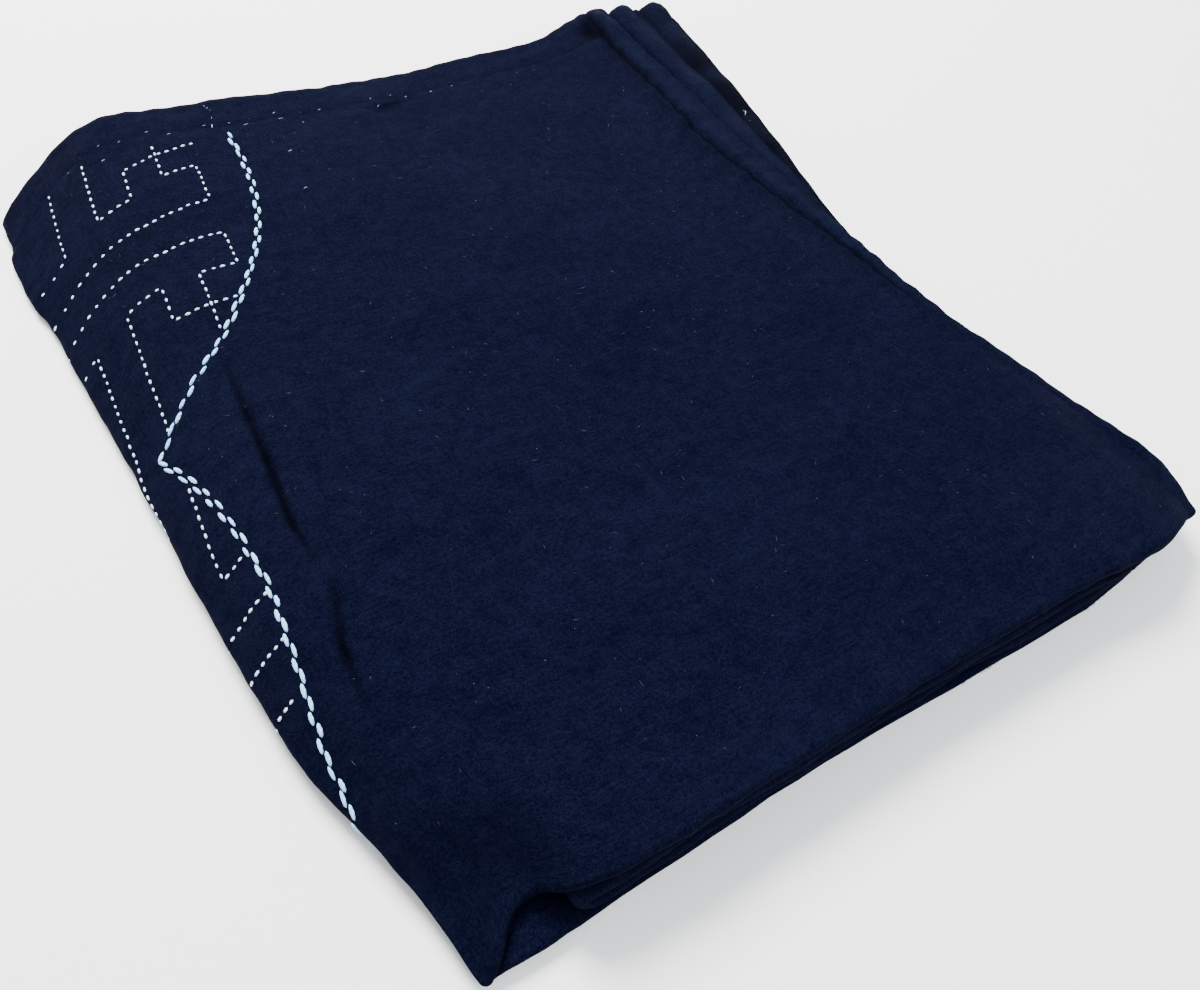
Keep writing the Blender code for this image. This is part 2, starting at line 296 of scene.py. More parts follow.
# Cuts of the sheet. Columns: flat distance at which a run of cuts ends, and the step between its cuts
ACROSS_RUNS = (
    (0.0040, 0.0013),
    (0.0220, 0.0010),
    (0.2980, 0.0035),
    (0.3240, 0.0013),
    (0.3540, 0.0028),
    (0.3645, 0.0010),
    (0.4250, 0.0045),
    (0.7055, 0.0150),
    (0.7185, 0.0013),
    (1.0315, 0.0165),
    (1.0445, 0.0015),
    (1.3000, 0.0160),
    (1.3360, 0.0060),
    (1.3643, 0.0017),
)
ALONG_RUNS = (
    (0.0185, 0.0023),
    (0.0255, 0.0009),
    (0.4230, 0.0034),
    (0.4295, 0.0007),
    (0.4475, 0.0026),
    (0.8240, 0.0115),
    (0.8526, 0.0036),
)

# The stitched motif: a plum-flower outline in two touching rows of thick thread, on the flat cloth
FLOWER_X = -0.4449
FLOWER_Y = 0.1107
PETALS = 5
PETAL_RING = 0.2075
PETAL_RADIUS = 0.1722
FIRST_NOTCH = math.radians(-18.3)
OUTLINE_STITCH = 0.0058
OUTLINE_THREAD = 0.0017
OUTLINE_STEP = 0.0101
OUTLINE_ROWS = 0.0016
OUTLINE_TOP_GAP = 0.0045
OUTLINE_END_X = -0.52
PETAL_CUTS = 90

# Its filling: key-fret lines in fine thread, on a grid that leans a little with the weave
FRET_X = -0.1025
FRET_Y = 0.1105
FRET_COLUMN = 0.0172
FRET_ROW = 0.0195
FRET_LEAN = 0.09
FRET_RISE = 0.27
FRET_RISE_X = -0.140
FRET_RISE_Y = 0.090
FRET_RISE_REACH = 0.065
FRET_STITCH = 0.0024
FRET_THREAD = 0.0012
FRET_STEP = 0.0042
FRET_MARGIN = 0.0018
FRET_END_X = -0.50
FRET_LEAN_Y = 0.10
STITCHED_ONTO_HEM = 0.0015
FRET_LINES = (
    ((7, 1), (0, 1), (0, 2.2), (1, 2.2), (1, 3.4)),
    ((-0.2, 3), (2, 3), (2, 2), (3, 2), (3, 4)),
    ((4, 4.6), (4, 2), (5, 2), (5, 3), (6, 3), (6, 2)),
    ((7, 0), (0, 0), (0, -1), (1, -1), (1, -3)),
    ((-1, -2), (2, -2), (2, -1), (3, -1), (3, -5)),
    ((5, -2), (5, -1), (4, -1), (4, -6), (5, -6)),
    ((3, -5), (3, -8), (1, -8)),
    ((1, -9), (6, -9)),
    ((1, -10), (6, -10)),
    ((2.5, -11), (6, -11)),
)
HIDDEN_FRET_START = 6
HIDDEN_FRET_END = 25
HIDDEN_FRET_ROWS = (-16, 4)

# Small things: slip stitches of the hems, the second motif on the lower front folds, lint and loose ends
HEM_SEED = 12
HEM_STEP = 0.0127
HEM_STITCHES_TO = 0.075
HEM_STITCHES_SEEN = (
    (-0.0360, 0.1855), (-0.0475, 0.1955), (0.0030, 0.2010), (0.0065, 0.1875),
    (0.0390, 0.2110), (0.0940, 0.2015), (0.1355, 0.2025), (-0.0985, 0.1955),
    (-0.1260, 0.2005), (-0.1365, 0.1830), (-0.0515, 0.1625), (-0.0555, 0.1320),
)
SECOND_MOTIF = (
    ((-0.5445, -0.2128), (-0.5225, -0.2125)),
    ((-0.5195, -0.2125), (-0.4975, -0.2128)),
    ((-0.4565, -0.2120), (-0.4145, -0.2128)),
)
LOOSE_THREAD = (
    (-1.1800, -0.5290), (-1.1810, -0.5270), (-1.1790, -0.5240), (-1.1797, -0.5205), (-1.1788, -0.5180),
)
LONG_HAIR = ((-0.0795, 0.2100), (-0.0770, 0.2050), (-0.0785, 0.1990), (-0.0805, 0.1925))
LINT_COUNT = 240
SPECK_COUNT = 140
LINT_X = (-0.165, 0.160)
LINT_Y = (-0.205, 0.205)

# Colours, as plain linear values
INDIGO_DEEP = (0.0005, 0.0009, 0.0068, 1.0)
INDIGO_WORN = (0.0034, 0.0042, 0.0144, 1.0)
INDIGO_PAINTED_SHADE = (0.0001, 0.0002, 0.0012, 1.0)
INDIGO_RIDGE_HIGHLIGHT = (0.0044, 0.0064, 0.0180, 1.0)
EDGE_BROWN = (0.0090, 0.0068, 0.0074, 1.0)
COTTON_SURFACE = {
    "Specular IOR Level": 0.015, "Sheen Weight": 0.002, "Sheen Roughness": 0.45,
    "Sheen Tint": (0.45, 0.60, 0.95, 1.0),
}
THREAD_SURFACE = {"Roughness": 0.75, "Specular IOR Level": 0.35}
FLOOR_SURFACE = {"Base Color": (0.90, 0.90, 0.90, 1.0), "Roughness": 0.9}

# Threads by their materials' names: colour, shade between the strands, and how many strands cross a stitch
THREADS = {
    "pale blue thread": ((0.330, 0.600, 0.900, 1.0), (0.16, 0.32, 0.52, 1.0), 2.5),
    "white thread": ((0.560, 0.740, 0.920, 1.0), (0.45, 0.50, 0.56, 1.0), 1.5),
    "hem thread": ((0.120, 0.180, 0.270, 1.0), (0.05, 0.08, 0.13, 1.0), 1.0),
    "lint": ((0.020, 0.031, 0.060, 1.0), (0.012, 0.020, 0.040, 1.0), 1.0),
}
STRAND_SLANT = 1.3
STRAND_FLUFF = (2600.0, 2.0, 0.6)

# Sewn pieces and lint. Columns: piece, thread, lift off the cloth, seed and spread of the places, and then
# the stitch tree's inputs in the order of STITCH_INPUTS
STITCH_INPUTS = ("Length", "Width", "Height", "Sides", "Rings", "Unevenness", "Seed")
THICK = (OUTLINE_STITCH, OUTLINE_THREAD)
FINE = (FRET_STITCH, FRET_THREAD)
THICK_RAISED = (*THICK, OUTLINE_THREAD * 0.75)
FINE_RAISED = (*FINE, FRET_THREAD * 0.7)
SEWN = (
    ("flower_outline", "pale blue thread", 0.0002, 3, 0.00018, (*THICK_RAISED, 8, 6, 0.14, 5)),
    ("key_fret", "white thread", 0.0001, 4, 0.00012, (*FINE_RAISED, 6, 4, 0.18, 6)),
    ("flower_outline_under", "pale blue thread", 0.0, 7, 0.00018, (*THICK, 0.0004, 6, 4, 0.14, 8)),
    ("key_fret_under", "white thread", 0.0, 9, 0.00012, (*FINE, 0.0003, 5, 3, 0.18, 10)),
    ("hem_stitches", "hem thread", 0.00005, 21, 0.0, (0.0022, 0.00055, 0.0004, 6, 4, 0.35, 22)),
    ("second_motif", "white thread", 0.0001, 23, 0.0001, (*FINE_RAISED, 6, 4, 0.2, 24)),
    ("lint", "lint", 0.00015, 26, 0.0, (0.0026, 0.00017, 0.00014, 4, 3, 0.6, 27)),
    ("specks", "lint", 0.0001, 29, 0.0, (0.0007, 0.00040, 0.0003, 5, 3, 0.5, 30)),
    ("loose_thread", "white thread", 0.0003, 31, 0.0, (0.0030, 0.0008, 0.0007, 6, 4, 0.05, 32)),
    ("long_hair", "white thread", 0.0002, 33, 0.0, (0.0030, 0.00036, 0.00026, 5, 3, 0.05, 34)),
)
LINT_SEED = 25
SPECK_SEED = 28
LOOSE_THREAD_STEP = 0.0016
LONG_HAIR_STEP = 0.0020

# Grains of the cotton. Columns: name, noise scale (one number, or one for each way of the cloth), detail,
# roughness, and how far it changes the tone
GRAINS = (
    ("cloudy", 7.0, 2.0, 0.5, 0.5),
    ("mottle", 30.0, 4.0, 0.6, 0.7),
    ("pills", 165.0, 2.0, 0.6, 1.1),
    ("slub", (90.0, 700.0, 1.0), 3.0, 0.6, 0.6),
    ("cross_slub", (640.0, 110.0, 1.0), 3.0, 0.6, 0.5),
    ("nap", 620.0, 3.0, 0.7, 2.1),
    ("fuzz", 1500.0, 1.0, 0.6, 2.2),
    ("rumple", 60.0, 3.0, 0.5, 0.0),
)
TONE = 0.42
THREAD_PITCH = 0.00062
WORN_EDGE = 0.0022

# The studio: the photograph's viewpoint, and its soft light
CAMERA_PLACE = (-0.2186, -0.2784, 0.3663)
CAMERA_TURN = (36.4404, -7.1026, -32.9915)
CAMERA_LENS = 31.57
SENSOR_WIDTH = 36.0
LIT_MIDDLE = (0.0, 0.0, 0.02)
LIGHTS = (
    ("window", (0.05, 1.50, 1.55), 1.1, 205.0, (1.0, 0.99, 0.97)),
    ("fill", (0.5, -1.2, 1.5), 1.6, 34.0, (0.94, 0.97, 1.0)),
)
SKY = {"Color": (0.93, 0.96, 1.0, 1.0), "Strength": 1.20}
FLOOR_REACH = 4.0


def smooth_step(value):
    clipped = np.clip(value, 0.0, 1.0)
    return clipped * clipped * (3 - 2 * clipped)


def bell(distance, width):
    """1 at no distance, falling softly to nothing past the width."""
    return np.exp(-((distance / width) ** 2))


def round_bell(x, y, middle_x, middle_y, width):
    """The same round a place on the flat cloth."""
    return np.exp(-((x - middle_x) ** 2 + (y - middle_y) ** 2) / width**2)


def table_value(rows, columns, name, at):
    """A soft curve through a named column of a table, level beyond its ends. Column one is the place."""
    table = np.array(rows)
    places, values = table[:, 0], table[:, columns.index(name)]
    slopes = np.gradient(values, places)
    slopes[0] = slopes[-1] = 0.0
    at = np.clip(at, places[0], places[-1])
    low = np.clip(np.searchsorted(places, at) - 1, 0, len(places) - 2)
    step = places[low + 1] - places[low]
    share = (at - places[low]) / step
    square, cube = share**2, share**3
    return (
        (2 * cube - 3 * square + 1) * values[low]
        + (cube - 2 * square + share) * step * slopes[low]
        + (3 * square - 2 * cube) * values[low + 1]
        + (cube - square) * step * slopes[low + 1]
    )


def side_shift(rows, columns, at, up):
    """A side's shift at a share of the pile's height, between its low and high columns."""
    low, high = [table_value(rows, columns, name, at) for name in ("low", "high")]
    return low + (high - low) * smooth_step(up)


def line(name, start, end):
    """A straight stretch of a fold line."""
    start, end = np.array(start), np.array(end)
    return {"name": name, "start": start, "end": end, "length": float(np.linalg.norm(end - start))}


def turn(name, centre, radius, start, end):
    """A turn of a fold line between two headings. A falling heading turns to the right."""
    side = 1 if end > start else -1
    shape = {"name": name, "centre": centre, "radius": radius, "side": side}
    return {**shape, "turns": (start, end), "length": radius * abs(end - start)}


def on_turn(centre, radius, heading, side=1):
    return np.array(centre) + side * radius * np.stack((np.sin(heading), -np.cos(heading)), axis=-1)


def across_stretches():
    """The fold line of the panels in the XZ plane, from the top panel's free end to the inner one's."""
    left, right = math.pi, 2 * math.pi
    down = left + SLOPE
    over_centre = (SHOULDER_X, LEVEL_TOP - SHOULDER_RADIUS)
    nose_centre = (NOSE_X, LEVEL_BOTTOM + TURN)
    slope_top = on_turn(over_centre, SHOULDER_RADIUS, down)
    slope_foot = on_turn(nose_centre, TURN, down)
    return (
        line("top", (WIDTH / 2, LEVEL_TOP), (SHOULDER_X, LEVEL_TOP)),
        turn("over", over_centre, SHOULDER_RADIUS, left, down),
        line("over", slope_top, slope_foot),
        turn("nose", nose_centre, TURN, down, right),
        line("bottom", (NOSE_X, LEVEL_BOTTOM), (TURN_X, LEVEL_BOTTOM)),
        turn("turn", (TURN_X, LEVEL_BOTTOM + TURN), TURN, right, right + math.pi),
        line("third", (TURN_X, LEVEL_THIRD), (INNER_TURN_X, LEVEL_THIRD)),
        turn("inner turn", (INNER_TURN_X, LEVEL_THIRD + TURN), TURN, left, 0.0),
        line("second", (INNER_TURN_X, LEVEL_SECOND), (WIDTH / 2, LEVEL_SECOND)),
    )


def along_stretches():
    """The fold line of the double layer: Y, and the distance outwards from the panel's middle."""
    out = PITCH / 2
    return (
        line("outer layer", (BACK_Y, out), (FRONT_Y, out)),
        turn("front turn", (FRONT_Y, 0.0), out, math.pi, 2 * math.pi),
        line("inner layer", (FRONT_Y, -out), (BACK_Y, -out)),
    )


ACROSS = across_stretches()
ALONG = along_stretches()
ACROSS_LENGTH = sum(stretch["length"] for stretch in ACROSS)
ALONG_LENGTH = sum(stretch["length"] for stretch in ALONG)
FRONT_FOLD = ALONG[0]["length"]


def on_fold_line(stretches, distance):
    """The point, heading and stretch number at flat distances along a fold line."""
    point = np.zeros(distance.shape + (2,))
    heading = np.zeros(distance.shape)
    number = np.zeros(distance.shape, int)
    done = 0.0
    for index, stretch in enumerate(stretches):
        here = distance >= done if index else np.ones(distance.shape, bool)
        share = (distance[here] - done) / stretch["length"]
        if "centre" in stretch:
            start, end = stretch["turns"]
            turned = start + share * (end - start)
            point[here] = on_turn(stretch["centre"], stretch["radius"], turned, stretch["side"])
            heading[here] = turned
        else:
            reach = stretch["end"] - stretch["start"]
            point[here] = stretch["start"] + share[:, None] * reach
            heading[here] = math.atan2(reach[1], reach[0])
        number[here] = index
        done += stretch["length"]
    return point, heading, number


def height_share(x, y):
    """How high the pile lies at a place, as a share of its straight height."""
    pillow = PILLOW * np.cos(math.pi * x / WIDTH * 0.9) * np.cos(math.pi * y / DEPTH * 0.9)
    fall_share = np.clip((LEFT_FALL_START - x) / (LEFT_FALL_START + WIDTH / 2 - PILE_X), 0.0, 1.0)
    left_fall = table_value(LEFT_FALL, LEFT_FALL_COLUMNS, "fall", y) * fall_share**2
    from_middle = np.abs(x - BACK_FALL_MIDDLE) / BACK_FALL_REACH
    back_fall = BACK_FALL * smooth_step((y - BACK_FALL_START) / (BACK_Y - BACK_FALL_START))
    back_fall = back_fall * (1 - smooth_step(from_middle))
    return 1 + pillow - left_fall - back_fall - sum(trough_depth(row, x, y) for row in TROUGHS)


def along_segment(x, y, start_x, start_y, end_x, end_y):
    """The nearest place on a straight segment, as a share of its length, and the distance from it."""
    run_x, run_y = end_x - start_x, end_y - start_y
    share = np.clip(((x - start_x) * run_x + (y - start_y) * run_y) / (run_x**2 + run_y**2), 0.0, 1.0)
    return share, np.hypot(x - start_x - share * run_x, y - start_y - share * run_y)


def trough_depth(row, x, y):
    share, away = along_segment(x, y, *row[:4])
    half_width, depth = row[4:]
    return depth * (1 - smooth_step(away / (2 * half_width)))


def right_edge(name, y):
    return table_value(RIGHT_SHIFTS, RIGHT_COLUMNS, name, y)


def uneven_point(x, y, z, panel, outer_share, upper):
    """Moves points of the straight pile to the softly folded one. upper is 1 on the top panel."""
    up = (z - SHEET / 2) / (HEIGHT - SHEET)
    end_share = np.clip((x - SHOULDER_X) / (WIDTH / 2 - SHOULDER_X), 0.0, 1.0)
    right = right_edge("turn", y)
    for name in ("top", "second"):
        inner, outer = right_edge(name + "_inner", y), right_edge(name + "_outer", y)
        right = np.where(panel == name, inner + (outer - inner) * smooth_step(outer_share), right)
    left = side_shift(LEFT_SHIFTS, LEFT_COLUMNS, y, up)
    inner = (panel == "third") | (panel == "inner turn") | (panel == "second")
    left = left + INNER_SHIFT * inner * smooth_step((INNER_SHIFT_Y - y) / PINCH_REACH_Y)
    moved_x = x + PILE_X + end_share * right + (1 - end_share) * left
    back = table_value(BACK_SHIFTS, BACK_COLUMNS, "top", moved_x)
    back = back - table_value(BACK_SHIFTS, BACK_COLUMNS, "lower", moved_x) * (1 - smooth_step(up))
    front = side_shift(FRONT_SHIFTS, FRONT_COLUMNS, moved_x, up)
    back_share = (y - FRONT_Y) / (BACK_Y - FRONT_Y)
    moved_y = y + PILE_Y + back_share * back + (1 - back_share) * front
    notch = table_value(NOTCH_SHIFTS, NOTCH_COLUMNS, "shift", moved_x)
    moved_y = moved_y + upper * notch * smooth_step((NOTCH_BACK_Y - moved_y) / NOTCH_REACH)
    at_foot = smooth_step((LUMP_START_X - moved_x) / LUMP_REACH_X)
    at_foot = at_foot * (1 - smooth_step((z - LUMP_TOP) / LUMP_FADE))
    for lump_y, half_width, reach in LEFT_LUMPS:
        moved_x = moved_x - reach * at_foot * bell(moved_y - lump_y, half_width)
    beyond = np.clip((moved_x - DROOP_START_X) / DROOP_REACH, 0.0, 1.0)
    droop = DROOP * beyond**2 * smooth_step((DROOP_BACK_Y - moved_y) / (DROOP_BACK_Y - DROOP_FRONT_Y))
    moved_z = SHEET / 2 + (z - SHEET / 2) * height_share(moved_x, moved_y) - droop * (panel == "top")
    lobe = smooth_step((LOBE_EDGE_Y + notch - moved_y) / LOBE_RAMP)
    lobe = lobe * (1 - smooth_step((moved_x - LOBE_END_X) / LOBE_END))
    moved_z = moved_z + LOBE_RISE * lobe * (panel == "bottom") * (1 - outer_share)
    pinched = smooth_step((PINCH_BACK_Y - moved_y) / PINCH_REACH_Y)
    pinched = pinched * (1 - smooth_step((moved_x - PINCH_LEFT_X) / PINCH_REACH_X))
    pinched = pinched * ((panel == "over") | (panel == "top") | (panel == "nose") | (panel == "bottom"))
    moved_z = moved_z * (1 - PINCH_UNDER * pinched * (1 - outer_share))
    level = PINCH_INNER + (PINCH_OUTER - PINCH_INNER) * outer_share
    moved_z = moved_z - PINCH * pinched * np.maximum(moved_z - level, 0.0)
    return np.stack((moved_x, moved_y, moved_z), axis=-1)


def wave_table():
    """Directions, lengths, heights and phases of the gentle waves, from a fixed seed."""
    dice = np.random.RandomState(WAVE_SEED)
    waves = []
    for count, shortest, longest, height in WAVE_SORTS:
        for _ in range(count):
            angle, phase = dice.uniform(0, math.pi), dice.uniform(0, 2 * math.pi)
            length = dice.uniform(shortest, longest)
            waves.append((math.cos(angle) / length, math.sin(angle) / length, height, phase))
    return waves


WAVES = wave_table()


def on_layer(across, along):
    """Whether a flat place lies on the inner layer, and its x and y on the layer that it lies on."""
    inner = along > ALONG_LENGTH / 2
    return inner, WIDTH / 2 - across, BACK_Y - np.where(inner, ALONG_LENGTH - along, along)


def hem_lumps(along):
    """A slow, drifting wave along a hem."""
    return np.sin(along / LUMP_STEP + 0.8 * np.sin(along / LUMP_DRIFT))


def relief(across, along):
    """How far the cloth's face stands off its plain folds: waves, creases and the sewn hems."""
    out = sum(h * np.sin(2 * math.pi * (a * across + b * along) + phase) for a, b, h, phase in WAVES)
    inner, x, y = on_layer(across, along)
    pressed_in = np.where(inner, UNDER_SHARE, -1.0)
    for row in CREASES:
        share, away = along_segment(x, y, *row[:4])
        half_width, start_depth, end_depth = row[4:]
        depth = start_depth + (end_depth - start_depth) * share
        out = out + pressed_in * depth * (1 - smooth_step(away / half_width))
    for knot_x, knot_y, half_width, height in KNOTS:
        out = out + ~inner * height * round_bell(x, y, knot_x, knot_y, half_width)
    side = across - seam_place(y)
    back = along - BACK_HEM
    side_pucker = np.sin(2 * math.pi * along / SIDE_PUCKER_STEP + 1.7 * np.sin(along / 0.031))
    back_pucker = np.sin(2 * math.pi * across / BACK_PUCKER_STEP + 1.9 * np.sin(across / 0.027))
    ridge = SIDE_RIDGE * bell(side + 0.0050, SIDE_RIDGE_WIDTH)
    hem = ridge - SIDE_GROOVE * bell(side, GROOVE_WIDTH) + PUCKER * side_pucker * bell(side, PUCKER_REACH)
    out = out + np.where(inner, 0.0, hem * seam_share(y))
    out = out + inner * strip_relief(across, along, y)
    out = out - BACK_GROOVE * bell(back, GROOVE_WIDTH)
    return out + 0.7 * PUCKER * back_pucker * bell(back, PUCKER_REACH)


def seam_place(y):
    """How far in from the free edge the side seam lies."""
    return table_value(SEAM_PLACES, SEAM_COLUMNS, "width", y)


def seam_share(y):
    """The side seam fades towards the front, where the hem rolls under."""
    return 0.15 + 0.85 * smooth_step((y - SEAM_END_Y) / SEAM_FADE)


def edge_strips(across, y):
    """The second and third edge strips: the distance in from each one's edge, and how wide it shows."""
    edges = [right_edge(name, y) for name in ("top_outer", "top_inner", "second_inner")]
    shown = [np.maximum(edge - above, 0.0) for above, edge in zip(edges, edges[1:])]
    return zip((across, ACROSS_LENGTH - across), shown)


def strip_relief(across, along, y):
    """Puffy hems of the two edge strips under the top one, as high as there is room beside the upper edge."""
    lumps = 1 + 0.35 * hem_lumps(along) + 0.25 * np.sin(along / FINE_LUMP_STEP)
    out = 0.0
    for face, (place, shown) in zip((-1, 1), edge_strips(across, y)):
        ridge = STRIP_RIDGE * lumps * bell(place - STRIP_RIDGE_AT, STRIP_RIDGE_WIDTH)
        groove = SIDE_GROOVE * bell(place - OTHER_SEAM, GROOVE_WIDTH)
        out = out + face * (ridge - groove) * smooth_step(shown / STRIP_FULL_AT)
    return out


def painted_shade_share(across, along):
    """Painted shade: how dark to paint a place in a crease or a seam line, under an edge on it, on the lowest
    strip and in the knot's hole.
    """
    inner, x, y = on_layer(across, along)
    dark = np.zeros(np.shape(x))
    for row in CREASES:
        if row[4] < DARK_CREASE:
            share, away = along_segment(x, y, *row[:4])
            depth = (row[5] + (row[6] - row[5]) * share) / DARKEST_DEPTH
            dark = np.maximum(dark, depth * (1 - smooth_step(away / (0.85 * row[4]))) * ~inner)
    # Painted shade along the side seam's groove, wider towards the back
    side = across - seam_place(y)
    seam_width = SEAM_DARK + SEAM_DARKER * smooth_step((y - SEAM_DARKER_Y) / 0.070)
    seam = bell(side, seam_width) + 0.30 * bell(side - 0.0040, 0.0040)
    dark = np.maximum(dark, ~inner * seam * 0.85 * seam_share(y))
    # Painted shade beside the edge above each lower strip, and along its other seam
    for place, shown in edge_strips(across, y):
        beside = bell(place - shown, EDGE_SHADE) * smooth_step(shown / 0.004)
        dark = np.maximum(dark, inner * np.maximum(beside, 0.7 * bell(place - OTHER_SEAM, 0.0011)))
    # Painted shade over the lowest strip, lighter at its lit back end
    lowest = 0.45 + 0.25 * np.sin(along / 0.0052) * np.sin(along / 0.0171)
    lowest = lowest * (1.9 - 1.4 * smooth_step((y - LOWEST_LIT_Y) / 0.035))
    dark = np.maximum(dark, inner * lowest * (ACROSS_LENGTH - across < LOWEST_STRIP))
    # Painted shade in the knot's hole
    hole_x, hole_y, hole_width, _ = KNOTS[-1]
    hole = 1.6 * round_bell(x, y, hole_x, hole_y, 1.2 * hole_width)
    return np.clip(np.maximum(dark, ~inner * hole), 0.0, 1.0)


def ridge_highlight_share(across, along):
    """Painted highlight where the cloth stands proud: hem ridges, the knot and the seams' puckers."""
    inner, x, y = on_layer(across, along)
    width = seam_place(y)
    spots = 0.5 + 0.5 * hem_lumps(along)
    own = bell(across - 0.55 * width, 0.0042) * (0.45 + 0.4 * spots)
    light = np.where(inner, 0.0, own * (across < width) * seam_share(y))
    for place, shown in edge_strips(across, y):
        band = bell(place - STRIP_RIDGE_AT, 0.0045) * smooth_step(shown / 0.012)
        light = np.maximum(light, inner * band * (0.25 + 0.75 * spots))
    for knot in KNOTS[:-1]:
        light = np.maximum(light, ~inner * 0.7 * round_bell(x, y, *knot[:3]))
    return np.clip(light, 0.0, 1.0)


def edge_wobble(place, phase, to_edge):
    """Small bumps of a worn, hand-sewn edge, in its own plane, fading inwards."""
    waves = sum(share * np.sin(place / step + turns * phase) for step, share, turns in EDGE_WAVES)
    return EDGE_WOBBLE * waves * np.exp(-to_edge / EDGE_WOBBLE_REACH)


def cloth_point(across, along, lift=0.0):
    """Carries places of the flat cloth to the folded pile, with a lift off its face."""
    across, along = np.asarray(across, float), np.asarray(along, float)
    level_point, heading, number = on_fold_line(ACROSS, across)
    layer_point, layer_heading, _ = on_fold_line(ALONG, along)
    lift = lift + relief(across, along)
    y = layer_point[..., 0] + lift * np.sin(layer_heading)
    y = y + edge_wobble(across, along.round(0), np.minimum(along, ALONG_LENGTH - along))
    outwards = layer_point[..., 1] - lift * np.cos(layer_heading)
    x = level_point[..., 0] + outwards * np.sin(heading)
    x = x + edge_wobble(along, across.round(0), np.minimum(across, ACROSS_LENGTH - across))
    z = level_point[..., 1] - outwards * np.cos(heading)
    panel = np.array([stretch["name"] for stretch in ACROSS])[number]
    round_nose = smooth_step((2 * math.pi - heading) / (math.pi - SLOPE))
    upper = np.where(panel == "nose", round_nose, (panel == "over") | (panel == "top"))
    return uneven_point(x, y, z, panel, layer_point[..., 1] / PITCH + 0.5, upper)


def hem_bulge(across, along):
    """Half the cloth's thickness, fuller inside its rolled hems."""
    y = BACK_Y - np.minimum(along, ALONG_LENGTH - along)
    free_width = seam_place(y)
    side = np.minimum(across / free_width, (ACROSS_LENGTH - across) / SIDE_HEM)
    back = np.minimum(along, ALONG_LENGTH - along) / BACK_HEM
    half = CLOTH_THICK / 2
    side_full = (SIDE_HEM_THICK - CLOTH_THICK) / 2 * smooth_step((1 - side) / 0.35)
    side_full = side_full * (0.5 + 0.5 * smooth_step(side / 0.4)) * (0.3 + 0.7 * seam_share(y))
    back_full = (BACK_HEM_THICK - CLOTH_THICK) / 2 * smooth_step((1 - back) / 0.20)
    return half + np.maximum(side_full * (1 + 0.25 * np.sin(y / 0.0033)), back_full)


def cuts(runs):
    """Flat distances of the sheet's cuts."""
    places, start = [0.0], 0.0
    for end, step in runs:
        count = max(1, round((end - start) / step))
        places.extend(start + (end - start) * np.arange(1, count + 1) / count)
        start = end
    return np.array(places)


def new_object(name, mesh):
    piece = bpy.data.objects.new(name, mesh)
    bpy.context.scene.collection.objects.link(piece)
    return piece


def plain_copy(piece, name):
    """The evaluated piece as a plain mesh without modifiers."""
    bpy.context.view_layer.update()
    depsgraph = bpy.context.evaluated_depsgraph_get()
    shown = piece.evaluated_get(depsgraph)
    mesh = bpy.data.meshes.new_from_object(shown, preserve_all_data_layers=True, depsgraph=depsgraph)
    bpy.data.objects.remove(piece)
    mesh.name = name
    return new_object(name, mesh)


def make_cloth(material):
    """The one sheet of the whole pile, closed, with its flat distances as its UV map."""
    across, along = cuts(ACROSS_RUNS), cuts(ALONG_RUNS)
    across, along = across * ACROSS_LENGTH / across[-1], along * ALONG_LENGTH / along[-1]
    flat_across, flat_along = np.meshgrid(across, along, indexing="ij")
    points = cloth_point(flat_across, flat_along)
    half = hem_bulge(flat_across, flat_along)
    points[..., 2] = np.maximum(points[..., 2], half + 0.0001)
    rows, columns = len(across), len(along)
    corner = np.arange(rows * columns).reshape(rows, columns)
    quads = (corner[:-1, :-1], corner[:-1, 1:], corner[1:, 1:], corner[1:, :-1])
    quads = np.stack(quads, axis=-1).reshape(-1, 4)
    mesh = bpy.data.meshes.new("cloth")
    mesh.from_pydata(points.reshape(-1, 3).tolist(), [], quads.tolist())
    flat = mesh.uv_layers.new(name="flat_cloth")
    places = np.stack((flat_across, flat_along), axis=-1).reshape(-1, 2)[quads.reshape(-1)]
    flat.data.foreach_set("uv", places.astype(np.float32).reshape(-1))
    # Painted shade and painted highlight, kept on the mesh for the cotton's colour
    for label, share in (("painted_shade", painted_shade_share), ("ridge_highlight", ridge_highlight_share)):
        marks = mesh.attributes.new(label, "FLOAT", "POINT")
        marks.data.foreach_set("value", share(flat_across, flat_along).astype(np.float32).reshape(-1))
    mesh.shade_smooth()
    mesh.materials.append(material)
    cloth = new_object("cloth", mesh)
    group = cloth.vertex_groups.new(name="thickness")
    fullest = 2 * float(half.max())
    shares = (2 * half / fullest).reshape(-1)
    for index, share in enumerate(shares.tolist()):
        group.add([index], share, "REPLACE")
    thicken = cloth.modifiers.new("thickness", "SOLIDIFY")
    thicken.thickness = fullest
    thicken.offset = 0.0
    thicken.vertex_group = group.name
    return above_ground(plain_copy(cloth, "cloth"))


def above_ground(piece):
    """Keeps a piece's lowest points on the surface that the pile rests on."""
    places = np.empty(3 * len(piece.data.vertices), np.float32)
    piece.data.vertices.foreach_get("co", places)
    places[2::3] = np.maximum(places[2::3], 0.00002)
    piece.data.vertices.foreach_set("co", places)
    piece.data.update()
    return piece


def petals():
    """The axis of each petal, and the x and y of its arc's middle."""
    for petal in range(PETALS):
        axis = FIRST_NOTCH + (2 * petal + 1) * (math.pi / PETALS)
        yield axis, FLOWER_X + PETAL_RING * math.cos(axis), FLOWER_Y + PETAL_RING * math.sin(axis)


